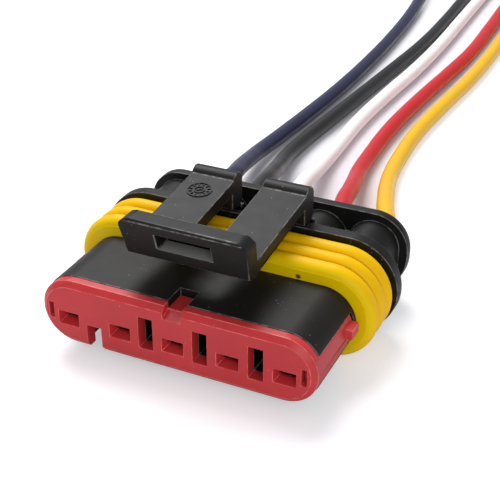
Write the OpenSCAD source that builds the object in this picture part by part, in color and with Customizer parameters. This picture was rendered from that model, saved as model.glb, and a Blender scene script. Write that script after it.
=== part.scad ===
// Sealed five-way plug connector, socket-contact half, with its leads.
// Millimetres. +Z is up, the leads leave towards +Y, the mating face looks towards -Y.
// The origin is the middle of the resting base, without the leads.

/* [Ways] */
// Distance between neighbouring contacts
pitch = 6; // [4.5:0.1:8]
// From the outer contact's centre to the nose's side
end_margin = 3.34; // [3.1:0.01:5]
// Width of a terminal chamber
chamber_w = 3.0; // [2.6:0.05:3.4]
// Height of a terminal chamber
chamber_h = 3.3; // [2.8:0.05:3.6]
// Chamber floor below the row of tab slots
chamber_drop = 1.2; // [1:0.05:1.5]
// Diameter of the bore that takes a wire seal
seal_bore_d = 3.9; // [3.4:0.05:4.4]

/* [Nose and body] */
// Half height of the nose
nose_half_h = 3.72; // [3.5:0.01:4.5]
// How far the nose's middle lies below the body's centre
nose_drop = 0.32; // [0:0.02:0.5]
// Flat left in the middle of the rounded ends
end_flat = 0.1; // [0.02:0.02:1]
// Front face of the lock plate to the rear end of the nose
nose_len = 10.4; // [9.8:0.1:16]
// Length of the seat of the interface seal
seat_len = 6.52; // [5:0.01:9]
// Half height of the seal's seat
seat_half_h = 3.15; // [2.9:0.05:4]
// How far the seat's ends lie inside the nose's ends
seat_step = 0.3; // [0.1:0.02:0.6]
// Thickness of the collar
collar_t = 1.45; // [1:0.05:2.5]
// How far the collar stands out past the nose at the sides
collar_side = 2.06; // [1.8:0.01:4]
// How far the collar stands out past the nose above and below
collar_up = 1.78; // [1.6:0.01:4]
// Length of the waist between collar and rear rim
waist_len = 6.13; // [4:0.01:12]
// Thickness of the rear rim
rim_t = 1.15; // [0.8:0.05:2.5]
// How far the rear rim stands out past the nose at the sides
rim_side = 0.60; // [0.4:0.01:3]
// Top of the rear rim above the body's centre
rim_up = 4.64; // [4.2:0.02:7]
// Top corner radius of the rear rim
rim_top_r = 4.0; // [1:0.1:4.2]
// Body's centre above the row of tab slots
centre_rise = 1.0; // [0.6:0.05:1.2]
// Radius of the round back of each cavity tube
hump_r = 2.9; // [2.5:0.05:2.95]
// Centre of that round back above or below the body's centre
hump_rise = 0.85; // [0.6:0.01:1.4]
// Half height of the web that joins the tubes
web_half_h = 1.9; // [1.5:0.1:3]

/* [Keys and slots] */
// Width of the tall slots between the ways
tall_slot_w = 1.58; // [1:0.02:1.7]
// Height of the tall slots
tall_slot_h = 3.62; // [2:0.02:3.8]
// Foot of the tall slots below the row
tall_slot_drop = 1.1; // [0.8:0.05:1.3]
// Depth of the tall slots into the nose
tall_slot_deep = 6.5; // [2:0.1:9]
// Width of the two end slots
end_slot_w = 0.55; // [0.4:0.05:0.8]
// Height of the two end slots
end_slot_h = 1.85; // [1:0.05:2.4]
// Outer contact's centre to the end slot's centre
end_slot_out = 2.0; // [1.9:0.05:2.2]
// Width of the key notch under the nose
key_w = 1.65; // [1:0.05:2]
// Key notch's centre from the nearest way towards the middle
key_off = 2.97; // [2.6:0.01:3.2]
// Roof of the key notch below the row
key_roof = 0.2; // [0:0.05:1]
// How much wider the key notch is below the chambers, on its outer side
key_step = 0.9; // [0.3:0.1:1.5]
// Width of the notch in the nose's top
top_notch_w = 2.1; // [1.5:0.05:3]
// Depth of the notch in the nose's top
top_notch_deep = 0.75; // [0.4:0.05:0.8]
// How much deeper the notch's floor lies at the plate's front
top_notch_ramp = 0.6; // [0.2:0.05:1]
// Length of that notch into the nose
top_notch_len = 2.6; // [1:0.1:3]

/* [Lock plate] */
// Thickness of the red front plate
plate_t = 1.4; // [1.2:0.05:2]
// Plate's outline inside the nose's outline
plate_inset = 0.08; // [0.02:0.01:0.2]
// How far the plate's front bevel reaches in
bevel_in = 0.58; // [0.2:0.02:0.8]
// Depth of the plate's front bevel
bevel_deep = 0.5; // [0.2:0.05:0.8]
// Mouth of a tab slot, width
tab_mouth_w = 2.4; // [2:0.05:2.8]
// Mouth of a tab slot, height
tab_mouth_h = 1.56; // [1.2:0.02:2]
// Throat of a tab slot, width
tab_throat_w = 1.9; // [1.6:0.05:2.2]
// Throat of a tab slot, height
tab_throat_h = 0.95; // [0.8:0.05:1.2]
// Depth of the funnel of a tab slot
tab_funnel = 0.9; // [0.5:0.05:1.2]
// Height of the side arms
side_arm_h = 3.4; // [2:0.1:4]
// Thickness of the side arms
side_arm_t = 0.85; // [0.6:0.05:1]
// Front face to the tip of the side arms
side_arm_len = 9.5; // [6:0.1:9.6]
// Length of the ear on a side arm
ear_len = 1.8; // [1:0.1:3]
// Height of the ear
ear_h = 1.1; // [1:0.05:2]
// Ear's middle above the arms' middle
ear_rise = 0.54; // [0:0.02:0.8]
// How far the ear stands out
ear_out = 0.65; // [0.3:0.05:1.2]
// Width of the fingers that block the lances
finger_w = 2.2; // [1.6:0.05:2.4]
// Thickness of the fingers
finger_t = 0.68; // [0.5:0.02:0.8]
// Front face to the fingers' tips
finger_len = 6.2; // [4:0.1:8]
// Gap between sliding faces
slide_gap = 0.06; // [0.03:0.01:0.12]

/* [Lances and contacts] */
// Thickness of a locking lance
lance_t = 0.5; // [0.4:0.05:0.7]
// Width of a locking lance
lance_w = 2.0; // [1.4:0.05:2.2]
// Front face to the lance's free tip
lance_tip = 4.6; // [4:0.1:6]
// Front face to the lance's root
lance_root = 9.5; // [8:0.1:9.6]
// How far the lance's hook hangs into the chamber
hook_h = 0.75; // [0.3:0.05:0.9]
// Length of the hook
hook_len = 1.0; // [0.6:0.05:1.4]
// Width of a contact's box
contact_w = 2.5; // [2.2:0.05:2.8]
// Height of a contact's box
contact_h = 2.7; // [2.2:0.05:3]
// Sheet thickness of a contact
sheet_t = 0.28; // [0.2:0.02:0.35]
// Gap between plate and the contact's mouth
contact_gap = 0.3; // [0.1:0.05:0.6]
// Length of a contact's box
contact_box_len = 8.0; // [6:0.1:10]
// Radius of the conductor crimp
crimp_r = 0.95; // [0.8:0.05:1.1]

/* [Interface seal] */
// Seal's wall from its seat to the crest of a rib
seal_rise = 2.16; // [1.6:0.02:2.3]
// Radius of a rib's round back
rib_r = 0.95; // [0.5:0.05:1]
// Distance between ribs
rib_step = 2.06; // [1.7:0.02:2.2]
// Seal's front end to the first rib
first_rib = 1.1; // [1.06:0.02:1.6]
// How far the seal's skin lies below the crests
rib_h = 0.86; // [0.5:0.02:1.2]

/* [Wire seals] */
// Gap between a wire seal's ribs and its bore
seal_gap = 0.03; // [0.01:0.01:0.06]
// Depth of a wire seal's rear face below the rim
seal_sunk = 0.9; // [0.3:0.1:2]
// Rim face to the front end of a wire seal
seal_reach = 10.6; // [9.5:0.1:12]
// Radius of a wire seal's neck inside the crimp
neck_r = 1.28; // [1.2:0.02:1.4]
// Radius of a wire seal's body between its ribs
seal_body_r = 1.6; // [1.4:0.05:1.75]

/* [Latch] */
// Outer half width of the latch
latch_half_w = 6.75; // [5:0.05:9]
// Half width of the gap between its arms
arm_gap_half = 1.63; // [1:0.01:3]
// Thickness of an arm
arm_t = 1.55; // [1.1:0.05:2]
// Rise of an arm per millimetre towards the rear
arm_slope = 0.1; // [0:0.01:0.15]
// Top of an arm above the collar, at the legs' front
arm_rise = 3.42; // [3:0.02:5]
// Hinge line behind the collar's front face
hinge_back = 1.43; // [1.2:0.01:1.6]
// Radius of the legs' round foot
foot_r = 0.7; // [0.5:0.05:0.8]
// Gap round the foot
foot_gap = 0.05; // [0.03:0.01:0.1]
// Hinge line to the bar's lower front edge
latch_reach = 14.8; // [12:0.1:15.5]
// Top of the front bar above the collar
bar_rise = 5.4; // [4.5:0.05:7]
// Depth of the bar's top
bar_top_deep = 2.1; // [1.5:0.05:3]
// How far the bar's face leans forward from foot to top
bar_lean = 1.24; // [0:0.02:2]
// How far the bar's ends flare out towards the top
bar_flare = 0.3; // [0:0.05:0.8]
// Radius of the bar's top corners
bar_corner_r = 1.4; // [0.5:0.1:2.4]
// Radius of the bar's upright front corners
bar_edge_r = 0.6; // [0.2:0.05:1]
// Half width of the latching window
window_half_w = 3.0; // [2:0.05:4]
// Height of the window
window_h = 1.8; // [1:0.05:2.4]
// Sill of the window above the bar's foot
window_sill = 1.35; // [1:0.05:2]
// Bar's lower front edge to the rear edge of the sill
sill_deep = 2.9; // [2:0.1:3.4]
// Height of the thumb lip above the legs' front
lip_h = 0.6; // [0.4:0.05:1.6]
// Legs' front to the front of the thumb lip
lip_back = 0.9; // [0.3:0.1:1.2]
// Radius of the legs' rear top corner
leg_corner_r = 1.15; // [0.5:0.05:1.2]

/* [Leads] */
// Diameter over a lead's insulation
lead_d = 2.2; // [1.6:0.1:2.3]
// Diameter of a lead's bare strand
strand_d = 1.3; // [0.8:0.1:1.5]
// Length of the stripped end
strip_len = 7; // [3:0.5:12]

/* [Hidden] */
$fn = 48;
ways = [-2, -1, 0, 1, 2];
tall_ways = [-0.5, 0.5, 1.5];
body_len = nose_len + seat_len + collar_t + waist_len + rim_t;
front_y = -body_len / 2;
nose_half_w = 2 * pitch + end_margin;
collar_half_w = nose_half_w + collar_side;
collar_half_h = nose_half_h + collar_up;
nose_corner_r = nose_half_h - end_flat / 2;
collar_corner_r = collar_half_h - end_flat / 2;
rim_half_w = nose_half_w + rim_side;
centre_z = collar_half_h;
nose_z = centre_z - nose_drop;
row_z = centre_z - centre_rise;
collar_top = centre_z + collar_half_h;
chamber_mid = chamber_h / 2 - chamber_drop;
lead_z = row_z + chamber_mid;
seat_y = nose_len;
collar_y = seat_y + seat_len;
waist_y = collar_y + collar_t;
rim_y = waist_y + waist_len;
lead_r = lead_d / 2;
bore_r = seal_bore_d / 2;
seat_half_w = nose_half_w - seat_step;
seat_corner_r = seat_half_h - end_flat / 2;
finger_slot_t = finger_t + 2 * slide_gap;
finger_z = chamber_h - chamber_drop + lance_t;
hinge_y = collar_y + hinge_back;
hinge_z = collar_top + 0.03;
big = 100;

// ---------- outlines and helpers ----------

// Upper half of a rounded outline: half width, height, corner radius.
module arch(hw, h, r) {
    translate([-hw, 0]) square([2 * hw, h - r + 0.001]);
    translate([-hw + r, 0]) square([2 * (hw - r), h]);
    intersection() {
        for (s = [-1, 1]) translate([s * (hw - r), h - r]) circle(r = r);
        translate([-2 * hw, 0]) square([4 * hw, 2 * h]);
    }
}

// Whole rounded outline about its own centre.
module oval(hw, hh, r) {
    square([2 * hw, 2 * (hh - r) + 0.002], center = true);
    square([2 * (hw - r), 2 * hh], center = true);
    for (sx = [-1, 1], sy = [-1, 1])
        translate([sx * (hw - r), sy * (hh - r)]) circle(r = r);
}

// Outline in X and Z, drawn from y0 to y1 behind the front face.
module along_y(y0, y1)
    translate([0, front_y + y1, 0]) rotate([90, 0, 0]) linear_extrude(height = y1 - y0) children();

// Outline in Y and Z, drawn from x0 to x1.
module along_x(x0, x1)
    translate([x0, front_y, 0]) rotate([90, 0, 90]) linear_extrude(height = x1 - x0) children();

// Box given by its low and high corners, y counted from the front face.
module block(x0, x1, y0, y1, z0, z1)
    translate([x0, front_y + y0, z0]) cube([x1 - x0, y1 - y0, z1 - z0]);

// Round bar along Y from y0 to y1.
module rod(x, z, r, y0, y1)
    translate([x, front_y + y1, z]) rotate([90, 0, 0]) cylinder(r = r, h = y1 - y0);

// Cone along Y: radius ra at y0, rb at y1.
module taper(x, z, ra, rb, y0, y1)
    translate([x, front_y + y1, z]) rotate([90, 0, 0]) cylinder(r1 = rb, r2 = ra, h = y1 - y0);

// ---------- housing ----------

module nose_shell() {
    along_y(plate_t, seat_y) translate([0, nose_z])
        oval(nose_half_w, nose_half_h, nose_corner_r);
    along_y(seat_y - 0.5, collar_y + 0.5) translate([0, centre_z])
        oval(seat_half_w, seat_half_h, seat_corner_r);
}

module collar()
    along_y(collar_y, waist_y) translate([0, centre_z])
        oval(collar_half_w, collar_half_h, collar_corner_r);

// Five cavity tubes with round backs above and below, joined by a web.
module waist() {
    for (w = ways) for (s = [-1, 1])
        rod(w * pitch, centre_z + s * hump_rise, hump_r, waist_y - 0.3, rim_y + 0.3);
    for (w = ways)
        block(w * pitch - hump_r, w * pitch + hump_r, waist_y - 0.3, rim_y + 0.3,
              centre_z - hump_rise, centre_z + hump_rise);
    block(-2 * pitch, 2 * pitch, waist_y - 0.3, rim_y + 0.3,
          centre_z - web_half_h, centre_z + web_half_h);
}

module rear_rim()
    along_y(rim_y, body_len) translate([0, centre_z]) {
        arch(rim_half_w, rim_up, rim_top_r);
        mirror([0, 1]) arch(rim_half_w, collar_half_h, collar_corner_r);
    }

// Raised block behind the collar that carries the latch's feet.
module foot_block(s) {
    x0 = s > 0 ? arm_gap_half - 0.15 : -latch_half_w - 0.15;
    block(x0, x0 + latch_half_w - arm_gap_half + 0.3, waist_y - 0.3, hinge_y + 1.35,
          centre_z, collar_top - 0.12);
}

module cavity(x) {
    // terminal chamber, then the round bore of the wire seal with its bevelled mouth
    block(x - chamber_w / 2, x + chamber_w / 2, plate_t - 1, collar_y,
          row_z - chamber_drop, row_z - chamber_drop + chamber_h);
    rod(x, lead_z, bore_r, collar_y - 0.01, body_len + 1);
    taper(x, lead_z, bore_r, bore_r + 0.35, body_len - 0.35, body_len + 0.001);
    // room above the lance, where it lifts and where the lock plate's finger lies
    difference() {
        block(x - chamber_w / 2, x + chamber_w / 2, plate_t - 1, lance_root,
              row_z - chamber_drop + chamber_h - 0.1, row_z + finger_z + finger_slot_t);
        block(x - lance_w / 2, x + lance_w / 2, lance_tip, lance_root + 1,
              row_z - chamber_drop + chamber_h - 0.2, row_z + finger_z);
    }
}

// Hook on a lance's tip: square behind, sloping in front of the contact's way in.
module hook(x)
    along_x(x - lance_w / 2 + 0.15, x + lance_w / 2 - 0.15)
        polygon([[lance_tip, row_z + finger_z - lance_t + 0.1],
                 [lance_tip, row_z + finger_z - lance_t - hook_h],
                 [lance_tip + 0.3, row_z + finger_z - lance_t - hook_h],
                 [lance_tip + hook_len, row_z + finger_z - lance_t + 0.1]]);

module side_groove(s) {
    x_in = nose_half_w - plate_inset - side_arm_t - slide_gap;
    block(s > 0 ? x_in : -nose_half_w - 1, s > 0 ? nose_half_w + 1 : -x_in,
          plate_t - 1, side_arm_len + 0.3,
          nose_z - side_arm_h / 2 - slide_gap, nose_z + side_arm_h / 2 + slide_gap);
}

module housing() color([0.12, 0.12, 0.13]) {
    difference() {
        union() { nose_shell(); collar(); waist(); rear_rim(); foot_block(1); foot_block(-1); }
        for (w = ways) cavity(w * pitch);
        for (w = tall_ways)
            block(w * pitch - tall_slot_w / 2, w * pitch + tall_slot_w / 2, plate_t - 1,
                  plate_t + tall_slot_deep, row_z - tall_slot_drop,
                  row_z - tall_slot_drop + tall_slot_h);
        // key notch under the nose, open below
        block(-2 * pitch + key_off - key_w / 2, -2 * pitch + key_off + key_w / 2,
              plate_t - 1, seat_y - 0.4, -1, row_z - key_roof);
        block(-2 * pitch + key_off - key_w / 2 - key_step, -2 * pitch + key_off,
              plate_t - 1, seat_y - 0.4, -1, row_z - chamber_drop - 0.6);
        // notch in the nose's top, down to the room of the middle finger
        block(-top_notch_w / 2, top_notch_w / 2, plate_t - 1, plate_t + top_notch_len,
              row_z + finger_z + finger_slot_t - 0.2, nose_z + nose_half_h + 1);
        side_groove(1);
        side_groove(-1);
        // trough that the latch's round feet turn in
        along_x(-latch_half_w - 0.1, latch_half_w + 0.1)
            translate([hinge_y, hinge_z]) circle(r = foot_r + foot_gap);
    }
    for (w = ways) hook(w * pitch);
}

// ---------- latch ----------

function arm_top(y) = collar_top + arm_rise - arm_slope * (collar_y + 0.2 - y);
bar_foot_y = hinge_y - latch_reach;
bar_foot_z = arm_top(bar_foot_y) - arm_t + 0.4;
bar_top_z = collar_top + bar_rise;
leg_front = collar_y + 0.2;
leg_back = hinge_y + 1.25;
lip_top = arm_top(leg_front) + lip_h;

module arm_outline()
    polygon([[bar_foot_y + 0.6, arm_top(bar_foot_y + 0.6) - arm_t],
             [leg_front + 0.3, arm_top(leg_front + 0.3) - arm_t],
             [leg_front + 0.3, arm_top(leg_front + 0.3)],
             [bar_foot_y + 0.6, arm_top(bar_foot_y + 0.6)]]);

// Leg with the thumb lip on top and a round foot below.
module leg_outline() {
    polygon([[leg_front, hinge_z + 0.04], [hinge_y, hinge_z + 0.04],
             [leg_back - 0.1, hinge_z + 0.3], [leg_back, lip_top - leg_corner_r],
             [leg_back - leg_corner_r, lip_top - leg_corner_r],
             [leg_back - leg_corner_r, lip_top], [leg_front + lip_back + 0.3, lip_top],
             [leg_front + lip_back, arm_top(leg_front + lip_back)],
             [leg_front, arm_top(leg_front)]]);
    translate([leg_back - leg_corner_r, lip_top - leg_corner_r]) circle(r = leg_corner_r);
    translate([hinge_y, hinge_z]) circle(r = foot_r);
}

module bar_outline()
    polygon([[bar_foot_y, bar_foot_z], [bar_foot_y + 0.7, bar_foot_z - 0.35],
             [bar_foot_y + sill_deep, arm_top(bar_foot_y + sill_deep) - arm_t + 0.02],
             [bar_foot_y + sill_deep, bar_foot_z + window_sill - 0.05],
             [bar_foot_y + 1.6, bar_foot_z + window_sill - 0.05],
             [bar_foot_y - bar_lean + bar_top_deep, bar_top_z],
             [bar_foot_y - bar_lean + 0.25, bar_top_z],
             [bar_foot_y - bar_lean, bar_top_z - 0.25]]);

// The bar seen from the front: rounded corners, larger ones above.
module bar_face() {
    mid = (bar_top_z + bar_foot_z) / 2;
    top_half_w = latch_half_w + bar_flare;
    intersection() {
        translate([0, mid]) {
            arch(top_half_w, bar_top_z - mid, bar_corner_r);
            mirror([0, 1]) arch(top_half_w, mid - bar_foot_z + 0.5, 0.4);
        }
        polygon([[-latch_half_w, bar_foot_z - 0.5], [latch_half_w, bar_foot_z - 0.5],
                 [latch_half_w, bar_foot_z], [top_half_w, bar_top_z],
                 [-top_half_w, bar_top_z], [-latch_half_w, bar_foot_z]]);
    }
}

module latch() color([0.12, 0.12, 0.13]) difference() {
    union() {
        for (s = [-1, 1]) {
            x0 = s > 0 ? arm_gap_half : -latch_half_w;
            along_x(x0, x0 + latch_half_w - arm_gap_half) { arm_outline(); leg_outline(); }
        }
        intersection() {
            along_x(-latch_half_w - bar_flare, latch_half_w + bar_flare) bar_outline();
            along_y(bar_foot_y - 3, bar_foot_y + 5) bar_face();
            // soft upright corners at the front
            translate([0, front_y + bar_foot_y - bar_lean, 0]) linear_extrude(height = big)
                translate([0, 10]) oval(latch_half_w + bar_flare, 10, bar_edge_r);
        }
    }
    // latching window
    block(-window_half_w, window_half_w, bar_foot_y - 3, bar_foot_y + 5,
          bar_foot_z + window_sill, bar_foot_z + window_sill + window_h);
}

// ---------- lock plate ----------

plate_half_w = nose_half_w - plate_inset;
plate_half_h = nose_half_h - plate_inset;
tongue_top = nose_z + nose_half_h - top_notch_deep;

plate_corner_r = plate_half_h - end_flat / 2;

// Rounded plate with a bevel round its front edge and two side arms, all in one outline.
module bevelled_plate() {
    cx = plate_half_w - plate_corner_r;
    cz = plate_half_h - plate_corner_r;
    intersection() {
        along_y(bevel_deep, side_arm_len) translate([0, nose_z])
            oval(plate_half_w, plate_half_h, plate_corner_r);
        union() {
            block(-plate_half_w - 1, plate_half_w + 1, 0, plate_t, 0, 2 * nose_z);
            for (s = [-1, 1])
                block(s > 0 ? plate_half_w - side_arm_t : -plate_half_w - 1,
                      s > 0 ? plate_half_w + 1 : side_arm_t - plate_half_w,
                      0, side_arm_len + 1, nose_z - side_arm_h / 2, nose_z + side_arm_h / 2);
        }
    }
    for (sx = [-1, 1], sz = [-1, 1])
        taper(sx * cx, nose_z + sz * cz, plate_corner_r - bevel_in, plate_corner_r,
              0, bevel_deep);
    along_x(-cx, cx) polygon([[0, nose_z - plate_half_h + bevel_in],
        [bevel_deep, nose_z - plate_half_h], [bevel_deep, nose_z + plate_half_h],
        [0, nose_z + plate_half_h - bevel_in]]);
    translate([0, front_y, nose_z - cz]) linear_extrude(height = 2 * cz)
        polygon([[-plate_half_w + bevel_in, 0], [plate_half_w - bevel_in, 0],
                 [plate_half_w, bevel_deep], [-plate_half_w, bevel_deep]]);
}

// Slot that guides a tab in: a funnel, then a straight throat.
module tab_slot(x) {
    intersection() {
        translate([x, front_y, 0]) linear_extrude(height = big)
            polygon([[-tab_mouth_w / 2, 0], [tab_mouth_w / 2, 0],
                     [tab_throat_w / 2, tab_funnel], [-tab_throat_w / 2, tab_funnel]]);
        along_x(x - 2, x + 2)
            polygon([[0, row_z - tab_mouth_h / 2], [tab_funnel, row_z - tab_throat_h / 2],
                     [tab_funnel, row_z + tab_throat_h / 2], [0, row_z + tab_mouth_h / 2]]);
    }
    block(x - tab_throat_w / 2, x + tab_throat_w / 2, tab_funnel - 0.01, plate_t + 1,
          row_z - tab_throat_h / 2, row_z + tab_throat_h / 2);
}

module lock_plate() color([0.78, 0.22, 0.22]) {
    difference() {
        bevelled_plate();
        for (w = ways) tab_slot(w * pitch);
        for (w = tall_ways)
            block(w * pitch - tall_slot_w / 2, w * pitch + tall_slot_w / 2, -1, plate_t + 1,
                  row_z - tall_slot_drop, row_z - tall_slot_drop + tall_slot_h);
        for (s = [-1, 1])
            block(s * (2 * pitch + end_slot_out) - end_slot_w / 2,
                  s * (2 * pitch + end_slot_out) + end_slot_w / 2, -1, plate_t - 0.3,
                  row_z - 0.3, row_z - 0.3 + end_slot_h);
        block(-2 * pitch + key_off - key_w / 2, -2 * pitch + key_off + key_w / 2,
              -1, plate_t + 1, -1, row_z - key_roof);
        // notch in the top, its floor rising to the rear
        along_x(-top_notch_w / 2 + slide_gap, top_notch_w / 2 - slide_gap)
            polygon([[-1, tongue_top - 2 * top_notch_ramp], [0, tongue_top - top_notch_ramp],
                     [plate_t, tongue_top], [plate_t + 1, tongue_top],
                     [plate_t + 1, big], [-1, big]]);
    }
    // tongue that fills the notch in the nose's top
    block(-top_notch_w / 2 + slide_gap, top_notch_w / 2 - slide_gap, plate_t - 0.2,
          plate_t + top_notch_len - 0.2, row_z + finger_z + slide_gap, tongue_top);
    for (w = ways)
        block(w * pitch - finger_w / 2, w * pitch + finger_w / 2, plate_t - 0.2, finger_len,
              row_z + finger_z + slide_gap, row_z + finger_z + slide_gap + finger_t);
    // ears near the tips of the side arms
    for (s = [-1, 1])
        block(s > 0 ? plate_half_w - 0.4 : -plate_half_w - ear_out,
              s > 0 ? plate_half_w + ear_out : -plate_half_w + 0.4,
              side_arm_len - 0.05 - ear_len, side_arm_len - 0.05,
              nose_z + ear_rise - ear_h / 2, nose_z + ear_rise + ear_h / 2);
}

// ---------- interface seal ----------

seal_crest_r = seat_corner_r + seal_rise;
lobe_r = seal_rise / 2 - 0.02;

// Section of the seal: radius across, length up.
module seal_section() {
    translate([seat_corner_r, 0]) square([seal_rise - rib_h, seat_len]);
    translate([seal_crest_r - lobe_r, first_rib]) circle(r = lobe_r, $fn = 32);
    for (i = [1, 2])
        translate([seal_crest_r - rib_r, first_rib + i * rib_step]) circle(r = rib_r, $fn = 32);
}

module seal_edge(len) rotate([90, 0, 90]) linear_extrude(height = len) children();

module interface_seal() color([0.93, 0.78, 0.08]) {
    cx = seat_half_w - seat_corner_r;
    cz = seat_half_h - seat_corner_r;
    translate([0, front_y + seat_y, centre_z]) rotate([-90, 0, 0]) {
        for (q = [0, 1, 2, 3])
            translate([(q == 0 || q == 3) ? cx : -cx, (q < 2) ? cz : -cz, 0])
                rotate([0, 0, q * 90]) rotate_extrude(angle = 90) seal_section();
        for (s = [0, 1]) rotate([0, 0, s * 180]) {
            // long sides above and below
            translate([-cx, cz, 0]) rotate([90, 0, 90])
                linear_extrude(height = 2 * cx) seal_section();
            // short sides
            translate([cx, cz, 0]) rotate([90, 0, 0])
                linear_extrude(height = 2 * cz) seal_section();
        }
    }
}

// ---------- contacts ----------

contact_z0 = row_z - chamber_drop;
contact_y0 = plate_t + contact_gap;
box_end = contact_y0 + contact_box_len;
grip_y = body_len - seal_reach;

module contact(x) color([0.72, 0.70, 0.66]) {
    difference() {
        block(x - contact_w / 2, x + contact_w / 2, contact_y0, box_end,
              contact_z0, contact_z0 + contact_h);
        block(x - contact_w / 2 + sheet_t, x + contact_w / 2 - sheet_t, contact_y0 - 1,
              box_end + 1, contact_z0 + sheet_t, contact_z0 + contact_h - sheet_t);
        // window that the lance's hook drops into
        block(x - lance_w / 2, x + lance_w / 2, lance_tip - 0.1, lance_tip + hook_len + 0.3,
              contact_z0 + contact_h - sheet_t - 0.1, contact_z0 + contact_h + 1);
    }
    // spring blade inside the box
    along_x(x - 0.7, x + 0.7)
        polygon([[contact_y0 + 0.6, contact_z0 + 0.2], [contact_y0 + 0.9, contact_z0 + 0.2],
                 [contact_y0 + 3.0, row_z - 0.5], [contact_y0 + 5.4, contact_z0 + 0.2],
                 [contact_y0 + 5.7, contact_z0 + 0.2], [contact_y0 + 3.0, row_z - 0.3]]);
    // sloping strip from the box to the crimps
    along_x(x - 0.6, x + 0.6)
        polygon([[box_end - 0.4, contact_z0], [box_end, contact_z0],
                 [box_end + 1.4, lead_z - crimp_r], [grip_y - 0.6, lead_z - crimp_r],
                 [grip_y, lead_z - neck_r - 0.17], [grip_y + 0.9, lead_z - neck_r - 0.17],
                 [grip_y + 0.9, lead_z - neck_r - 0.02], [grip_y, lead_z - neck_r - 0.02],
                 [grip_y - 0.5, lead_z - crimp_r + 0.3],
                 [box_end + 1.3, lead_z - crimp_r + 0.3],
                 [box_end - 0.4, contact_z0 + sheet_t]]);
    // conductor crimp, closed on the strands
    rod(x, lead_z, crimp_r, box_end + 1.4, grip_y - 0.5);
    // grip round the neck of the wire seal
    difference() {
        rod(x, lead_z, neck_r + 0.17, grip_y + 0.3, grip_y + 2.0);
        rod(x, lead_z, neck_r + 0.02, grip_y, grip_y + 3);
    }
}

// ---------- wire seals ----------

module wire_seal(x) color([0.93, 0.78, 0.08]) difference() {
    union() {
        rod(x, lead_z, neck_r, grip_y + 0.1, collar_y + 1.2);
        rod(x, lead_z, seal_body_r, collar_y + 0.6, body_len - seal_sunk);
        for (k = [0, 1, 2])
            translate([x, front_y + collar_y + 2.0 + k * 1.9, lead_z]) rotate([90, 0, 0])
                rotate_extrude() translate([bore_r - seal_gap - 0.55, 0]) circle(r = 0.55, $fn = 24);
    }
    rod(x, lead_z, lead_r + 0.02, grip_y - 1, body_len + 1);
}

// ---------- leads ----------

// Centre lines of the leads: x and z as they lie, y from the front face.
floor_z = lead_r + 0.02;
in_y = grip_y + 0.3;
route_1 = [[-2 * pitch, in_y, lead_z], [-2 * pitch, 27, lead_z], [-11.9, 31.5, lead_z - 0.1],
    [-11.3, 36, 4.6], [-12.3, 41, 3.6], [-13.3, 46, 2.4], [-13.9, 51, 1.5],
    [-13.8, 56.5, floor_z], [-13.1, 66, floor_z], [-12.5, 78, floor_z], [-12.4, 90, floor_z],
    [-12.8, 104, floor_z], [-13.8, 118, floor_z], [-15.4, 131, floor_z], [-16.2, 143, floor_z],
    [-16.2, 153, floor_z]];
route_2 = [[-pitch, in_y, lead_z], [-pitch, 27, lead_z], [-6.1, 31.5, lead_z - 0.1],
    [-6.7, 36, 4.6], [-7.7, 41, 3.6], [-8.8, 46, 2.4], [-9.8, 51, 1.5], [-10.0, 56.5, floor_z],
    [-9.3, 66, floor_z], [-8.4, 78, floor_z], [-7.5, 90, floor_z], [-6.7, 103, floor_z],
    [-6.7, 117, floor_z], [-7.2, 131, floor_z], [-7.8, 144, floor_z], [-7.8, 155, floor_z]];
route_3 = [[0, in_y, lead_z], [0, 27, lead_z], [-0.7, 31.5, lead_z - 0.1], [-1.9, 36, 4.6],
    [-2.9, 41, 3.6], [-3.7, 46, 2.4], [-4.4, 51, 1.5], [-4.8, 56.5, floor_z],
    [-5.2, 67, floor_z], [-4.8, 79, floor_z], [-4.1, 91, floor_z], [-3.9, 104, floor_z],
    [-4.2, 118, floor_z], [-4.5, 132, floor_z], [-4.6, 145, floor_z], [-4.6, 157, floor_z]];
route_4 = [[pitch, in_y, lead_z], [pitch, 27, lead_z], [5.3, 31.5, lead_z - 0.1], [4.2, 36, 4.6],
    [3.2, 41, 3.6], [2.0, 46, 2.4], [0.9, 51, 1.5], [0.3, 56.5, floor_z], [-0.1, 67, floor_z],
    [0.4, 79, floor_z], [1.3, 91, floor_z], [2.0, 103, floor_z], [1.7, 117, floor_z],
    [1.2, 131, floor_z], [1.0, 144, floor_z], [1.0, 156, floor_z]];
route_5 = [[2 * pitch, in_y, lead_z], [2 * pitch, 27, lead_z], [11.2, 31.5, lead_z - 0.1],
    [9.5, 36, 4.6], [7.9, 41, 3.6], [6.4, 46, 2.4], [5.2, 51, 1.5], [4.4, 56.5, floor_z],
    [3.9, 66, floor_z], [4.4, 78, floor_z], [5.2, 90, floor_z], [5.4, 102, floor_z],
    [5.1, 115, floor_z], [4.9, 129, floor_z], [5.0, 142, floor_z], [5.0, 154, floor_z]];

function unit(v) = v / norm(v);
function heading(p, i) = unit(p[min(i + 1, len(p) - 1)] - p[max(i - 1, 0)]);
function across(d) = unit(cross(d, [0, 0, 1]));
// Eight points round the centre line at each route point.
function ring(p, i, r) = let (d = heading(p, i), a = across(d), b = cross(a, d))
    [for (k = [0:7]) p[i] + r * cos(k * 45) * a + r * sin(k * 45) * b];
function rings(p, r) = [for (i = [0:len(p) - 1]) each ring(p, i, r)];
function skin(n) = [for (i = [0:n - 2], k = [0:7])
    [i * 8 + k, i * 8 + (k + 1) % 8, (i + 1) * 8 + (k + 1) % 8, (i + 1) * 8 + k]];

module lead(p, c) color(c) translate([0, front_y, 0])
    polyhedron(points = rings(p, lead_r),
               faces = concat([[for (k = [7:-1:0]) k]], skin(len(p)),
                              [[for (k = [0:7]) (len(p) - 1) * 8 + k]]));

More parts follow.
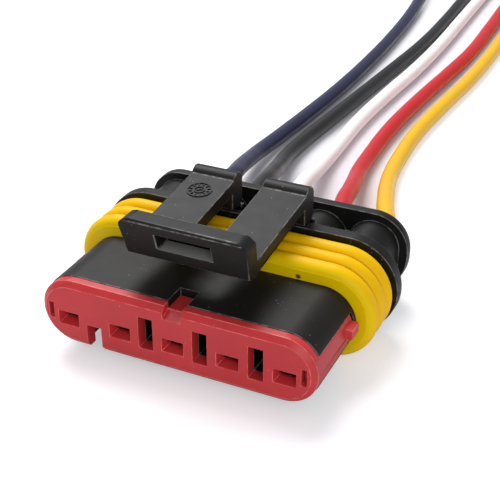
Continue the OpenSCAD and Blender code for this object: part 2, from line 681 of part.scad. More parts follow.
// Bare strand that sticks out of the cut end of a lead.
module strand(p) color([0.80, 0.50, 0.28]) {
    e = p[len(p) - 1];
    rod(e[0], e[2], strand_d / 2, e[1], e[1] + strip_len);
}

// ---------- nodes ----------

housing();
latch();
interface_seal();
lock_plate();
contact(-2 * pitch);  // contact_1
contact(-pitch);  // contact_2
contact(0);  // contact_3
contact(pitch);  // contact_4
contact(2 * pitch);  // contact_5
wire_seal(-2 * pitch);  // wire_seal_1
wire_seal(-pitch);  // wire_seal_2
wire_seal(0);  // wire_seal_3
wire_seal(pitch);  // wire_seal_4
wire_seal(2 * pitch);  // wire_seal_5
lead(route_1, [0.12, 0.12, 0.25]);  // wire_1
lead(route_2, [0.08, 0.08, 0.08]);  // wire_2
lead(route_3, [0.92, 0.92, 0.90]);  // wire_3
lead(route_4, [0.75, 0.10, 0.10]);  // wire_4
lead(route_5, [0.95, 0.72, 0.10]);  // wire_5
strand(route_1);  // strand_1
strand(route_2);  // strand_2
strand(route_3);  // strand_3
strand(route_4);  // strand_4
strand(route_5);  // strand_5
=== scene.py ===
# %% [markdown]
# # A sealed five-way plug, from solid model to finished look
# The real object is a small vehicle connector: a black moulded housing, a red lock plate on its
# nose, a yellow ribbed seal round it, a sprung latch on top and five thin leads behind.
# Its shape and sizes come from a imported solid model, which we load as a fixed frame.
# We could also model everything here by eye, but then nothing would have a true size.

# %% Load the frame
import math
import bmesh
import bpy
from mathutils import Matrix, Vector
from mathutils.bvhtree import BVHTree


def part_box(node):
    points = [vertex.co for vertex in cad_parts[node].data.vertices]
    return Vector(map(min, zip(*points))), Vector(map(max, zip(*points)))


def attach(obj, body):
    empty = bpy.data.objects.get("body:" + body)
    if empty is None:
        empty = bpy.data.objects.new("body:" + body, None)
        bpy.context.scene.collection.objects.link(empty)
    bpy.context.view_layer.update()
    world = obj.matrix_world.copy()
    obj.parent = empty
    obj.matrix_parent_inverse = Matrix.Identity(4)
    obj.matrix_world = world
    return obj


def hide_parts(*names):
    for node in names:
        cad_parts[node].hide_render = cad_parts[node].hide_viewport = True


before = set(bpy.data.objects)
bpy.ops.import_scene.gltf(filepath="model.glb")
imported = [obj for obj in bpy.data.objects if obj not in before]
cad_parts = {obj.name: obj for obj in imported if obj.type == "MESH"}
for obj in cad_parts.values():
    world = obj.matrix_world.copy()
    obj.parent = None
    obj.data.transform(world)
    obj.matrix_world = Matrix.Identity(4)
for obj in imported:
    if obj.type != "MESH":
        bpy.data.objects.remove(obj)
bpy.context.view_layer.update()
MM = 0.001

# %% [markdown]
# ## The camera
# A long lens close to the object gives the view its gentle perspective. We work out where the
# camera looks from two angles, round the object and above the table, and turn it with
# a quaternion, because that keeps "up" up without any trial and error.

# %% Camera
def look_from(place, round_deg, above_deg, roll_deg, lens, shift_x):
    a, e = math.radians(round_deg), math.radians(above_deg)
    ahead = Vector((-math.sin(a) * math.cos(e), math.cos(a) * math.cos(e), -math.sin(e)))
    data = bpy.data.cameras.new("camera")
    data.lens, data.sensor_width, data.shift_x = lens, 36.0, shift_x
    data.clip_start, data.clip_end = 0.005, 5.0
    camera = bpy.data.objects.new("camera", data)
    turn = ahead.to_track_quat("-Z", "Y").to_matrix() @ Matrix.Rotation(math.radians(roll_deg), 3, "Z")
    camera.matrix_world = Matrix.LocRotScale(Vector(place), turn.to_quaternion(), None)
    bpy.context.scene.collection.objects.link(camera)
    return camera

CAMERA_PLACE = (0.0449, -0.090185, 0.06727)
CAMERA_ROUND, CAMERA_ABOVE, CAMERA_ROLL = 25.45, 30.13, -0.22
LENS_MM, SHIFT_X = 79.7, 0.0077
bpy.context.scene.camera = look_from(CAMERA_PLACE, CAMERA_ROUND, CAMERA_ABOVE, CAMERA_ROLL, LENS_MM, SHIFT_X)
print("camera distance, mm:", round(bpy.context.scene.camera.location.length / MM))

# %% [markdown]
# ## Small helpers for shader nodes
# Every finish here is made of nodes that compute a pattern, so no picture file is needed.
# A few helpers keep the cells below short: one adds a node, one opens a new node group with
# named sockets, and one starts a material with its Principled shader.

# %% Node helpers
def add(tree, kind, **values):
    """Adds a node; a value goes to the socket or the setting of that name."""
    node = tree.nodes.new(kind)
    for name, value in values.items():
        plain = name.replace("_", " ")
        target = next((s for s in node.inputs if s.name.lower() == plain.lower()), None)
        if isinstance(value, bpy.types.NodeSocket):
            tree.links.new(value, target)
        elif target is not None:
            target.default_value = value
        else:
            setattr(node, name, value)
    return node

def math_node(tree, work, a, b=0.0, c=0.0):
    node = tree.nodes.new("ShaderNodeMath")
    node.operation = work
    for socket, value in zip(node.inputs, (a, b, c)):
        if isinstance(value, bpy.types.NodeSocket):
            tree.links.new(value, socket)
        else:
            socket.default_value = value
    return node.outputs[0]

def blend_colours(tree, share, a, b, how="MIX"):
    node = tree.nodes.new("ShaderNodeMix")
    node.data_type, node.blend_type = "RGBA", how
    for socket, value in ((node.inputs[0], share), (node.inputs[6], a), (node.inputs[7], b)):
        if isinstance(value, bpy.types.NodeSocket):
            tree.links.new(value, socket)
        else:
            socket.default_value = (*value, 1) if hasattr(value, "__len__") and len(value) == 3 else value
    return node.outputs[2]

def between(tree, value, low, high, out_low=0.0, out_high=1.0):
    node = tree.nodes.new("ShaderNodeMapRange")
    node.interpolation_type = "SMOOTHSTEP"
    tree.links.new(value, node.inputs[0])
    for socket, number in zip(node.inputs[1:5], (low, high, out_low, out_high)):
        if isinstance(number, bpy.types.NodeSocket):
            tree.links.new(number, socket)
        else:
            socket.default_value = number
    return node.outputs[0]

def new_group(name, inputs, outputs):
    group = bpy.data.node_groups.new(name, "ShaderNodeTree")
    kinds = {"value": "NodeSocketFloat", "colour": "NodeSocketColor", "vector": "NodeSocketVector"}
    for label, kind, start in inputs:
        socket = group.interface.new_socket(label, in_out="INPUT", socket_type=kinds[kind])
        if start is not None:
            socket.default_value = start
    for label, kind in outputs:
        group.interface.new_socket(label, in_out="OUTPUT", socket_type=kinds[kind])
    return group, group.nodes.new("NodeGroupInput").outputs, group.nodes.new("NodeGroupOutput").inputs

def use_group(tree, group, **values):
    node = tree.nodes.new("ShaderNodeGroup")
    node.node_tree = group
    for name, value in values.items():
        socket = node.inputs[name.replace("_", " ")]
        if isinstance(value, bpy.types.NodeSocket):
            tree.links.new(value, socket)
        else:
            socket.default_value = value
    return node.outputs

def new_material(name, **constants):
    material = bpy.data.materials.new(name)
    material.use_nodes = True
    shader = material.node_tree.nodes["Principled BSDF"]
    for label, value in constants.items():
        shader.inputs[label.replace("_", " ")].default_value = value
    return material, material.node_tree, shader

def place_in(tree):
    return tree.nodes.new("ShaderNodeTexCoord").outputs["Object"]

print("helpers ready")

# %% [markdown]
# ## What moulded and rubber surfaces share
# Three effects return in many finishes. *Grain* is the fine spark-eroded skin of a mould.
# *Specks* is dust: tiny scattered points, sparse and unevenly spread. *Mottle* is the slow change
# of tone from one patch to the next. Each is a node group with named inputs, built once.
# They could be one big group, but small ones can be mixed per material.

# %% Effect groups
def grain_group():
    g, i, o = new_group("grain", [("Place", "vector", None), ("Size", "value", 9000.0),
                                  ("Strength", "value", 1.0)], [("Height", "value")])
    fine = add(g, "ShaderNodeTexNoise", vector=i["Place"], detail=3.0, roughness=0.6)
    g.links.new(i["Size"], fine.inputs["Scale"])
    g.links.new(math_node(g, "MULTIPLY", fine.outputs[0], i["Strength"]), o["Height"])
    return g

def specks_group():
    g, i, o = new_group("specks", [("Place", "vector", None), ("Per metre", "value", 1500.0),
                                   ("Radius", "value", 0.12), ("Share", "value", 0.3)],
                        [("Mask", "value")])
    cells = add(g, "ShaderNodeTexVoronoi", vector=i["Place"])
    g.links.new(i["Per metre"], cells.inputs["Scale"])
    pick = add(g, "ShaderNodeSeparateColor", color=cells.outputs["Color"])
    chosen = math_node(g, "LESS_THAN", pick.outputs[0], i["Share"])
    size = math_node(g, "MULTIPLY", i["Radius"], math_node(g, "ADD", pick.outputs[1], 0.25))
    dot = math_node(g, "LESS_THAN", cells.outputs["Distance"], size)
    patch = add(g, "ShaderNodeTexNoise", vector=i["Place"], scale=220.0, detail=2.0)
    there = between(g, patch.outputs[0], 0.42, 0.62)
    g.links.new(math_node(g, "MULTIPLY", math_node(g, "MULTIPLY", dot, chosen), there), o["Mask"])
    return g

def mottle_group():
    g, i, o = new_group("mottle", [("Place", "vector", None), ("Scale", "value", 260.0),
                                   ("Amount", "value", 0.1)], [("Factor", "value")])
    wide = add(g, "ShaderNodeTexNoise", vector=i["Place"], detail=4.0, roughness=0.55)
    g.links.new(i["Scale"], wide.inputs["Scale"])
    swing = math_node(g, "MULTIPLY", math_node(g, "SUBTRACT", wide.outputs[0], 0.5), i["Amount"])
    g.links.new(math_node(g, "ADD", swing, 1.0), o["Factor"])
    return g

grain, specks, mottle = grain_group(), specks_group(), mottle_group()
print("groups:", [g.name for g in (grain, specks, mottle)])

# %% [markdown]
# ## Moulded plastic
# The housing and latch are black glass-filled plastic: satin, with a fine grain, pale dust and
# edges painted a little lighter, partly wear from handling and partly painted highlight. The lock
# plate is the same family in red and a shade glossier. One function makes both, because only
# numbers differ. The lighter edges read a mask that the softened copies further down carry in
# their mesh. The ledge inside the latch's window is a paler patch of colour, painted light: we
# find it by its height and its facing.

# %% Plastic material
SILL_Z = 13.15
SILL_HALF_W = 3.0
SILL_BAND = 0.12
SILL_FACING = 0.7
# Painted light: a pale grey for the light that falls on the ledge inside the latch's window.
LEDGE_PAINTED_LIGHT = (0.30, 0.30, 0.29)

def painted_ledge_light_mask(tree, place):
    """1 on the upward face of the ledge inside the latch's front window, where light is painted."""
    at = add(tree, "ShaderNodeSeparateXYZ", vector=place).outputs
    surface = tree.nodes.new("ShaderNodeNewGeometry")
    facing = add(tree, "ShaderNodeSeparateXYZ", vector=surface.outputs["Normal"])
    up = math_node(tree, "GREATER_THAN", facing.outputs["Z"], SILL_FACING)
    level = math_node(tree, "COMPARE", at["Z"], SILL_Z * MM, SILL_BAND * MM)
    inside = math_node(tree, "COMPARE", at["X"], 0.0, SILL_HALF_W * MM)
    return math_node(tree, "MULTIPLY", math_node(tree, "MULTIPLY", up, level), inside)

def moulded(name, colour, wear_highlight_colour, dust, dust_share, rough, grain_size, grain_high, wear_highlight_share, shine):
    material, tree, shader = new_material(name, Specular_IOR_Level=shine)
    place = place_in(tree)
    tone = use_group(tree, mottle, Place=place, Scale=240.0, Amount=0.35)["Factor"]
    base = add(tree, "ShaderNodeHueSaturation", value=tone)
    base.inputs["Color"].default_value = (*colour, 1)
    # Edge mask: the middle of each bevel is painted lighter, partly wear from handling and partly painted
    # highlight.
    wear_highlight = add(tree, "ShaderNodeAttribute", attribute_name="edge_wear_and_highlight").outputs["Fac"]
    patchy = add(tree, "ShaderNodeTexNoise", vector=place, scale=1300.0, detail=4.0)
    wear_and_highlight = math_node(tree, "MULTIPLY", math_node(tree, "MULTIPLY", wear_highlight, wear_highlight_share),
                     between(tree, patchy.outputs[0], 0.40, 0.56, 0.30, 1.0))
    with_edges = blend_colours(tree, wear_and_highlight, base.outputs[0], wear_highlight_colour)
    # Painted light on the upward face of the window's ledge.
    with_edges = blend_colours(tree, painted_ledge_light_mask(tree, place), with_edges, LEDGE_PAINTED_LIGHT)
    fleck = use_group(tree, specks, Place=place, Per_metre=2600.0, Radius=0.16, Share=dust_share)["Mask"]
    soft_fleck = math_node(tree, "MULTIPLY", fleck, 0.75)
    tree.links.new(blend_colours(tree, soft_fleck, with_edges, dust), shader.inputs["Base Color"])
    even = use_group(tree, mottle, Place=place, Scale=700.0, Amount=0.3)["Factor"]
    roughness = math_node(tree, "MULTIPLY", even, rough)
    tree.links.new(math_node(tree, "SUBTRACT", roughness, math_node(tree, "MULTIPLY", wear_and_highlight, 0.12)),
                   shader.inputs["Roughness"])
    skin = use_group(tree, grain, Place=place, Size=grain_size, Strength=1.0)["Height"]
    lifted = math_node(tree, "ADD", skin, math_node(tree, "MULTIPLY", fleck, 2.0))
    bump = add(tree, "ShaderNodeBump", height=lifted, strength=0.5, distance=grain_high)
    tree.links.new(bump.outputs[0], shader.inputs["Normal"])
    return material

# The edge colours below are partly wear and partly painted highlight; the red one is a pinker painted
# highlight.
black_plastic = moulded("black_moulding", colour=(0.0085, 0.008, 0.0075), wear_highlight_colour=(0.26, 0.25, 0.24),
                        dust=(0.26, 0.25, 0.24), dust_share=0.20, rough=0.48, grain_size=9000.0,
                        grain_high=0.00001, wear_highlight_share=0.8, shine=0.22)
red_plastic = moulded("red_moulding", colour=(0.52, 0.030, 0.034), wear_highlight_colour=(0.95, 0.22, 0.19),
                      dust=(0.80, 0.42, 0.38), dust_share=0.05, rough=0.38, grain_size=7000.0,
                      grain_high=0.000006, wear_highlight_share=0.75, shine=0.36)
print("plastics:", black_plastic.name, red_plastic.name)

# %% [markdown]
# ## Rubber, metal and insulation
# The seals are soft silicone: a saturated yellow with painted shade in the two grooves between
# the ribs, a few blackish crumbs and one spot of painted shade for a nick on the front lip. The
# contacts are tinned strip, the lead ends bare copper, and the insulation is smooth and slightly
# glossy, with a very soft unevenness. The grooves' shade comes from masks on the way along the
# plug, so it costs no geometry.

# %% Rubber, metal and insulation materials
def silicone():
    material, tree, shader = new_material("yellow_rubber", Specular_IOR_Level=0.12)
    place = place_in(tree)
    along = add(tree, "ShaderNodeSeparateXYZ", vector=place).outputs["Y"]
    nearest = 1.0
    for groove in GROOVES:
        off = math_node(tree, "ABSOLUTE", math_node(tree, "SUBTRACT", along, groove * MM))
        nearest = math_node(tree, "MINIMUM", off, nearest)
    # Painted shade: the colour darkens towards the middle of each groove between the ribs.
    groove_shade = between(tree, nearest, 0.04 * MM, 0.24 * MM, 0.80, 0.0)
    on_lip = between(tree, along, LIP_END * MM, (LIP_END + 0.5) * MM, 1.0, 0.0)
    tone = use_group(tree, mottle, Place=place, Scale=180.0, Amount=0.14)["Factor"]
    base = add(tree, "ShaderNodeHueSaturation", value=tone)
    tree.links.new(blend_colours(tree, on_lip, (0.86, 0.50, 0.0), (0.80, 0.55, 0.0)), base.inputs["Color"])
    groove_shaded = blend_colours(tree, groove_shade, base.outputs[0], (0.16, 0.10, 0.0))
    crumbs = use_group(tree, specks, Place=place, Per_metre=1500.0, Radius=0.10, Share=0.16)["Mask"]
    # Painted shade: a blackish spot round the nick point stands for the shade inside the nick.
    from_nick = add(tree, "ShaderNodeVectorMath", operation="DISTANCE")
    tree.links.new(place, from_nick.inputs[0])
    from_nick.inputs[1].default_value = NICK * MM
    nick_shade = between(tree, from_nick.outputs["Value"], 0.18 * MM, 0.36 * MM, 1.0, 0.0)
    # Crumbs are real dirt; the nick spot is painted shade.
    crumbs_and_nick_shade = math_node(tree, "MAXIMUM", math_node(tree, "MULTIPLY", crumbs, 0.8), nick_shade)
    tree.links.new(blend_colours(tree, crumbs_and_nick_shade, groove_shaded, (0.10, 0.07, 0.02)), shader.inputs["Base Color"])
    even = use_group(tree, mottle, Place=place, Scale=500.0, Amount=0.35)["Factor"]
    tree.links.new(math_node(tree, "MULTIPLY", even, 0.42), shader.inputs["Roughness"])
    skin = use_group(tree, grain, Place=place, Size=3500.0, Strength=1.0)["Height"]
    tree.links.new(add(tree, "ShaderNodeBump", height=skin, strength=0.35, distance=0.00001).outputs[0],
                   shader.inputs["Normal"])
    return material

def metal(name, colour, dull, rough):
    material, tree, shader = new_material(name, Metallic=1.0)
    place = place_in(tree)
    stain = add(tree, "ShaderNodeTexNoise", vector=place, scale=700.0, detail=5.0)
    share = between(tree, stain.outputs[0], 0.45, 0.75)
    tree.links.new(blend_colours(tree, share, colour, dull), shader.inputs["Base Color"])
    tree.links.new(between(tree, stain.outputs[0], 0.3, 0.8, rough, rough + 0.2), shader.inputs["Roughness"])
    return material

def insulation(name, colour, rough=0.36):
    material, tree, shader = new_material(name, Specular_IOR_Level=0.4)
    place = place_in(tree)
    tone = use_group(tree, mottle, Place=place, Scale=90.0, Amount=0.12)["Factor"]
    base = add(tree, "ShaderNodeHueSaturation", value=tone)
    base.inputs["Color"].default_value = (*colour, 1)
    dust = use_group(tree, specks, Place=place, Per_metre=900.0, Radius=0.05, Share=0.06)["Mask"]
    pale = tuple(0.55 * c + 0.25 for c in colour)
    tree.links.new(blend_colours(tree, math_node(tree, "MULTIPLY", dust, 0.4), base.outputs[0], pale),
                   shader.inputs["Base Color"])
    soft = add(tree, "ShaderNodeTexNoise", vector=place, scale=320.0, detail=2.0)
    uneven = between(tree, soft.outputs[0], 0.2, 0.8, rough - 0.05, rough + 0.08)
    tree.links.new(uneven, shader.inputs["Roughness"])
    bump = add(tree, "ShaderNodeBump", height=soft.outputs[0], strength=0.3, distance=0.00006)
    tree.links.new(bump.outputs[0], shader.inputs["Normal"])
    return material

# Millimetres along Y: the two grooves, and where the front lip ends
GROOVES = (-0.295, 1.765)
LIP_END = -2.2
NICK = Vector((8.9, -2.42, 9.2))
yellow_rubber = silicone()
tinned = metal("tinned_contact", (0.66, 0.64, 0.60), (0.45, 0.43, 0.39), 0.25)
copper = metal("bare_copper", (0.86, 0.47, 0.30), (0.60, 0.30, 0.17), 0.28)
lead_skins = {"navy": insulation("navy_insulation", (0.021, 0.020, 0.062)),
              "black": insulation("black_insulation", (0.012, 0.012, 0.013)),
              "white": insulation("white_insulation", (0.96, 0.92, 0.91)),
              "red": insulation("red_insulation", (0.56, 0.012, 0.018)),
              "amber": insulation("amber_insulation", (0.84, 0.47, 0.006))}
print("insulation colours:", sorted(lead_skins))

# %% [markdown]
# ## The leads
# Five soft leads leave the back of the housing, bend down to the table and run on side by side.
# Each is a real cord with a known length, so it is drawn as one curve through the points of its
# route, given a round section. Automatic handles keep the bends smooth. The same points, in
# millimetres from the front face, shaped the plain tubes of the solid model.

# %% Lead routes and curves
FRONT = -12.825
LEAD = 2.2
routes = {
    1: ("navy", [
        (-12, 15.35, 4.95), (-12, 27, 4.95), (-11.9, 31.5, 4.85), (-11.3, 36, 4.6),
        (-12.3, 41, 3.6), (-13.3, 46, 2.4), (-13.9, 51, 1.5), (-13.8, 56.5, 1.12),
        (-13.1, 66, 1.12), (-12.5, 78, 1.12), (-12.4, 90, 1.12), (-12.8, 104, 1.12),
        (-13.8, 118, 1.12), (-15.4, 131, 1.12), (-16.2, 143, 1.12), (-16.2, 153, 1.12)]),
    2: ("black", [
        (-6, 15.35, 4.95), (-6, 27, 4.95), (-6.1, 31.5, 4.85), (-6.7, 36, 4.6),
        (-7.7, 41, 3.6), (-8.8, 46, 2.4), (-9.8, 51, 1.5), (-10, 56.5, 1.12),
        (-9.3, 66, 1.12), (-8.4, 78, 1.12), (-7.5, 90, 1.12), (-6.7, 103, 1.12),
        (-6.7, 117, 1.12), (-7.2, 131, 1.12), (-7.8, 144, 1.12), (-7.8, 155, 1.12)]),
    3: ("white", [
        (0, 15.35, 4.95), (0, 27, 4.95), (-0.7, 31.5, 4.85), (-1.9, 36, 4.6),
        (-2.9, 41, 3.6), (-3.7, 46, 2.4), (-4.4, 51, 1.5), (-4.8, 56.5, 1.12),
        (-5.2, 67, 1.12), (-4.8, 79, 1.12), (-4.1, 91, 1.12), (-3.9, 104, 1.12),
        (-4.2, 118, 1.12), (-4.5, 132, 1.12), (-4.6, 145, 1.12), (-4.6, 157, 1.12)]),
    4: ("red", [
        (6, 15.35, 4.95), (6, 27, 4.95), (5.3, 31.5, 4.85), (4.2, 36, 4.6),
        (3.2, 41, 3.6), (2.0, 46, 2.4), (0.9, 51, 1.5), (0.3, 56.5, 1.12),
        (-0.1, 67, 1.12), (0.4, 79, 1.12), (1.3, 91, 1.12), (2.0, 103, 1.12),
        (1.7, 117, 1.12), (1.2, 131, 1.12), (1.0, 144, 1.12), (1.0, 156, 1.12)]),
    5: ("amber", [
        (12, 15.35, 4.95), (12, 27, 4.95), (11.2, 31.5, 4.85), (9.5, 36, 4.6),
        (7.9, 41, 3.6), (6.4, 46, 2.4), (5.2, 51, 1.5), (4.4, 56.5, 1.12),
        (3.9, 66, 1.12), (4.4, 78, 1.12), (5.2, 90, 1.12), (5.4, 102, 1.12),
        (5.1, 115, 1.12), (4.9, 129, 1.12), (5.0, 142, 1.12), (5.0, 154, 1.12)]),
}

def draw_lead(number, colour, points):
    data = bpy.data.curves.new(f"lead_{number}_{colour}", "CURVE")
    data.dimensions, data.resolution_u = "3D", 8
    data.bevel_depth, data.bevel_resolution, data.use_fill_caps = LEAD / 2 * MM, 5, True
    line = data.splines.new("BEZIER")
    line.bezier_points.add(len(points) - 1)
    for knot, (x, y, z) in zip(line.bezier_points, points):
        knot.co = Vector((x, y + FRONT, z)) * MM
        knot.handle_left_type = knot.handle_right_type = "AUTO"
    data.materials.append(lead_skins[colour])
    lead = bpy.data.objects.new(data.name, data)
    bpy.context.scene.collection.objects.link(lead)
    return lead

def route_length(points):
    return sum((Vector(b) - Vector(a)).length for a, b in zip(points, points[1:]))

leads = {}
for number, (colour, points) in routes.items():
    leads[number] = draw_lead(number, colour, points)
    print(leads[number].name, "length mm:", round(route_length(points), 1))

# %% [markdown]
# ## The stripped ends
# Each lead ends in bare copper: nineteen fine wires laid in a gentle twist. One thin wire is
# a little circle swept along a screw line, which is exactly what the spin tool does when it is
# also given a shift for each step. Rings of six and twelve round a middle wire make the strand.

# %% Strand of nineteen wires
def edges_of(points):
    """Every edge that meets these points, once each."""
    return list(dict.fromkeys(e for v in points for e in v.link_edges))

def strand_wire(shape, radius, away, turn, start, length, steps, twist):
    ring = bmesh.ops.create_circle(shape, cap_ends=True, radius=radius, segments=7)["verts"]
    bmesh.ops.rotate(shape, verts=ring, cent=(0, 0, 0), matrix=Matrix.Rotation(math.pi / 2, 3, "X"))
    aside = Vector((away * math.cos(turn), 0, away * math.sin(turn)))
    bmesh.ops.translate(shape, verts=ring, vec=start + aside)
    cap = [f for f in ring[0].link_faces][:1]
    bmesh.ops.spin(shape, geom=ring + edges_of(ring) + cap,
                   cent=start, axis=(0, 1, 0), dvec=(0, length / steps, 0), angle=twist,
                   steps=steps, use_merge=False, use_normal_flip=False, use_duplicate=False)

def build_strand(number):
    low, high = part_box(f"strand_{number}")
    middle = (low + high) / 2
    start = Vector((middle.x, low.y - 0.0001, middle.z))
    wire = (high.x - low.x) / 2 / 5
    shape = bmesh.new()
    for count, away in ((1, 0.0), (6, 2.0), (12, 3.95)):
        for k in range(count):
            strand_wire(shape, wire, away * wire, k * math.tau / count, start,
                        high.y - low.y + 0.0001 - 0.00004 * (k % 4), 10, math.radians(160))
    bmesh.ops.remove_doubles(shape, verts=shape.verts, dist=1e-7)
    bmesh.ops.recalc_face_normals(shape, faces=shape.faces)
    for face in shape.faces:
        face.smooth = len(face.verts) == 4
    return finish_piece(shape, f"copper_strand_{number}", "housing", copper)

def finish_piece(shape, name, body, material, replaces=()):
    mesh = bpy.data.meshes.new(name)
    shape.to_mesh(mesh)
    shape.free()
    mesh.materials.append(material)
    piece = bpy.data.objects.new(name, mesh)
    bpy.context.scene.collection.objects.link(piece)
    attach(piece, body)
    if replaces:
        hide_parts(*replaces)
    return piece

for number, lead in leads.items():
    colour, points = routes[number]
    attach(lead, "housing")
    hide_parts(f"wire_{number}")
    strand = build_strand(number)
    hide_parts(f"strand_{number}")
print("strand faces:", len(strand.data.polygons))

# %% [markdown]
# ## Softened copies of the mouldings
# A solid model has knife-sharp edges, and a real moulding never has: light always catches
# a small round there. We copy the solid's mesh, join its loose triangles, merge flat ones back
# into whole faces and bevel every sharp edge. The row of points down the middle of each bevel
# gets a value of 1 in the edge mask, where the material paints edges lighter: partly wear from
# handling, partly painted highlight.
# A Bevel modifier would round the edges too, but it could not leave that mask.

# %% Softening
def soft_copy(node, name, body, material, width, sharp_deg=32):
    shape = bmesh.new()
    shape.from_mesh(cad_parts[node].data)
    bmesh.ops.remove_doubles(shape, verts=shape.verts, dist=2e-6)
    bmesh.ops.dissolve_limit(shape, angle_limit=math.radians(0.6), use_dissolve_boundaries=False,
                             verts=shape.verts, edges=shape.edges, delimit=set())
    bmesh.ops.dissolve_degenerate(shape, dist=2e-6, edges=shape.edges)
    sharp = [e for e in shape.edges if len(e.link_faces) == 2
             and e.calc_face_angle(0) > math.radians(sharp_deg)
             and min(f.calc_area() / max(f.calc_perimeter(), 1e-9) for f in e.link_faces) > width * 0.45]
    bevelled = bmesh.ops.bevel(shape, geom=sharp, offset=width, offset_type="OFFSET", affect="EDGES",
                               segments=2, profile=0.5, material=-1, clamp_overlap=False,
                               loop_slide=True)
    rounds = set(bevelled["faces"])
    # Mask for the lighter edges: partly wear, partly painted highlight.
    wear_highlight = shape.verts.layers.float.new("edge_wear_and_highlight")
    for point in shape.verts:
        if point.link_faces and all(f in rounds for f in point.link_faces):
            point[wear_highlight] = 1.0
    for face in shape.faces:
        face.smooth = True
    for edge in shape.edges:
        if len(edge.link_faces) == 2 and edge.calc_face_angle(0) > math.radians(sharp_deg):
            edge.smooth = False
    piece = finish_piece(shape, name, body, material, (node,))
    weighted = piece.modifiers.new("even_shading", "WEIGHTED_NORMAL")
    weighted.keep_sharp, weighted.weight = True, 50
    print(name, "edges softened:", len(sharp), "faces:", len(piece.data.polygons))
    return piece

soft_copy("housing", "housing_moulding", "housing", black_plastic, 0.00010)
soft_copy("latch", "latch_moulding", "latch", black_plastic, 0.00014)
soft_copy("lock_plate", "lock_plate_moulding", "lock_plate", red_plastic, 0.00007)

# %% [markdown]
# ## Finishes on the solids that stay
# The seals, the wire seals and the contacts already have the right shape, so they keep their
# mesh and only take a material.

# %% Give the remaining solids their finish
for name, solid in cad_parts.items():
    if name.startswith(("interface_seal", "wire_seal")):
        finish, slot = yellow_rubber, "yellow_rubber"
    elif name.startswith("contact"):
        finish, slot = tinned, "tinned_contact"
    else:
        continue
    solid.data.materials.clear()
    solid.data.materials.append(finish)
print("solids kept:", sum(not o.hide_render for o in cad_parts.values()))

# %% [markdown]
# ## Marks that the mould leaves
# On the real latch a small date dial is moulded into one arm: a ring with ticks round a middle
# pin. Ours is generic: plain ticks and no writing. To set it on the sloping arm we drop a ray
# on the solid and turn the mark to the surface it hits.

# %% Moulded dial on the latch arm
def surface_under(node, x, y):
    solid = bmesh.new()
    solid.from_mesh(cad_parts[node].data)
    hit, normal, _, _ = BVHTree.FromBMesh(solid).ray_cast(Vector((x, y, 0.1)), Vector((0, 0, -1)))
    solid.free()
    return hit, normal

def set_on(shape, hit, normal):
    turn = Vector((0, 0, 1)).rotation_difference(normal).to_matrix().to_4x4()
    bmesh.ops.transform(shape, verts=shape.verts, matrix=Matrix.Translation(hit) @ turn)

def add_ring(shape, radius, thick, high, segments=40):
    outer = bmesh.ops.create_circle(shape, cap_ends=False, radius=radius, segments=segments)["verts"]
    inner = bmesh.ops.create_circle(shape, cap_ends=False, radius=radius - thick, segments=segments)["verts"]
    loops = edges_of(outer + inner)
    flat = bmesh.ops.bridge_loops(shape, edges=loops)["faces"]
    raised = bmesh.ops.extrude_face_region(shape, geom=flat)["geom"]
    top = [v for v in raised if isinstance(v, bmesh.types.BMVert)]
    bmesh.ops.translate(shape, verts=top, vec=(0, 0, high))

def add_tick(shape, away, turn, long, wide, high):
    block = bmesh.ops.create_cube(shape, size=1.0)["verts"]
    bmesh.ops.scale(shape, verts=block, vec=(long, wide, high))
    bmesh.ops.translate(shape, verts=block, vec=(away, 0, high / 2))
    bmesh.ops.rotate(shape, verts=block, cent=(0, 0, 0), matrix=Matrix.Rotation(turn, 3, "Z"))

def moulded_dial():
    hit, normal = surface_under("latch", -0.00427, (14.57 + FRONT) * MM)
    shape = bmesh.new()
    add_ring(shape, 0.00138, 0.00013, 0.00012)
    add_ring(shape, 0.00062, 0.00011, 0.00012, 28)
    for k in range(12):
        add_tick(shape, 0.00100, math.tau * k / 12, 0.00034, 0.00011, 0.00012)
    add_tick(shape, 0.0, 0.6, 0.00070, 0.00012, 0.00012)
    bmesh.ops.recalc_face_normals(shape, faces=shape.faces)
    set_on(shape, hit - normal * 0.00001, normal)
    return finish_piece(shape, "mould_dial", "latch", black_plastic)

moulded_dial()
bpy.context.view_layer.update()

# %% [markdown]
# ## The table and the light
# A wide pale floor catches the shadow. Its material lets the camera see it near white while it
# still darkens under the object: a little light is added for the camera alone, and it fades out
# under the leads, which paints a grey shadow on the floor between them. Two large soft lamps and
# a pale world light the scene: the main one stands high and a little behind on the left, so that
# top faces shine softly and the front stays calmer.

# %% Floor, world and lamps
FLOOR_GLOW = 0.40

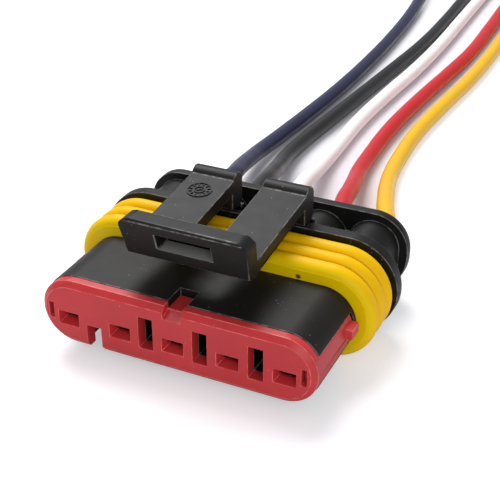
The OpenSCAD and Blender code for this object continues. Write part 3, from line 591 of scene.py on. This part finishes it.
def pale_floor():
    mesh = bpy.data.meshes.new("floor")
    shape = bmesh.new()
    bmesh.ops.create_grid(shape, x_segments=1, y_segments=1, size=2.0)
    shape.to_mesh(mesh)
    shape.free()
    floor = bpy.data.objects.new("floor", mesh)
    bpy.context.scene.collection.objects.link(floor)
    material = bpy.data.materials.new("floor_paper")
    material.use_nodes = True
    tree = material.node_tree
    tree.nodes.remove(tree.nodes["Principled BSDF"])
    matt = add(tree, "ShaderNodeBsdfDiffuse", color=(0.76, 0.75, 0.78, 1))
    at = add(tree, "ShaderNodeSeparateXYZ", vector=place_in(tree)).outputs
    # Painted shadow: the camera glow fades out over a patch under the leads, so the floor there stays grey.
    spread = between(tree, at["Y"], 0.016, 0.050, 0.0075, 0.0)
    right = math_node(tree, "ADD", spread, 0.0035)
    inside_right = between(tree, math_node(tree, "SUBTRACT", at["X"], right), -0.0015, 0.001, 1.0, 0.0)
    inside_left = between(tree, at["X"], -0.0150, -0.0125)
    behind = between(tree, at["Y"], 0.008, 0.012)
    painted_lead_shadow = math_node(tree, "MULTIPLY", math_node(tree, "MULTIPLY", inside_left, inside_right), behind)
    glow = add(tree, "ShaderNodeEmission", color=(1, 1, 1, 1))
    tree.links.new(between(tree, painted_lead_shadow, 0.0, 1.0, FLOOR_GLOW, 0.0), glow.inputs["Strength"])
    both = add(tree, "ShaderNodeAddShader")
    tree.links.new(matt.outputs[0], both.inputs[0])
    tree.links.new(glow.outputs[0], both.inputs[1])
    seen = add(tree, "ShaderNodeLightPath")
    choose = add(tree, "ShaderNodeMixShader")
    tree.links.new(seen.outputs["Is Camera Ray"], choose.inputs[0])
    tree.links.new(matt.outputs[0], choose.inputs[1])
    tree.links.new(both.outputs[0], choose.inputs[2])
    tree.links.new(choose.outputs[0], tree.nodes["Material Output"].inputs[0])
    mesh.materials.append(material)
    return floor

def pale_world(strength):
    world = bpy.data.worlds.new("studio")
    bpy.context.scene.world = world
    world.use_nodes = True
    tree = world.node_tree
    back = tree.nodes["Background"]
    back.inputs["Color"].default_value = (0.95, 0.97, 1.0, 1)
    back.inputs["Strength"].default_value = strength
    white = add(tree, "ShaderNodeBackground", color=(1, 1, 1, 1), strength=1.0)
    seen = add(tree, "ShaderNodeLightPath")
    choose = add(tree, "ShaderNodeMixShader")
    tree.links.new(seen.outputs["Is Camera Ray"], choose.inputs[0])
    tree.links.new(back.outputs[0], choose.inputs[1])
    tree.links.new(white.outputs[0], choose.inputs[2])
    tree.links.new(choose.outputs[0], tree.nodes["World Output"].inputs[0])

def soft_lamp(name, place, aim, size, power, colour=(1, 1, 1)):
    data = bpy.data.lights.new(name, "AREA")
    data.shape, data.size, data.energy, data.color = "SQUARE", size, power, colour
    lamp = bpy.data.objects.new(name, data)
    ahead = (Vector(aim) - Vector(place)).normalized()
    lamp.matrix_world = Matrix.LocRotScale(Vector(place), ahead.to_track_quat("-Z", "Y"), None)
    bpy.context.scene.collection.objects.link(lamp)
    return lamp

pale_floor()
pale_world(0.40)
soft_lamp("main_softbox", (-0.16, 0.16, 0.34), (0, 0, 0.01), 0.26, 1.75)
soft_lamp("front_fill", (0.22, -0.34, 0.22), (0, 0, 0.005), 0.30, 0.8)
scene = bpy.context.scene
scene.view_settings.view_transform = "Standard"
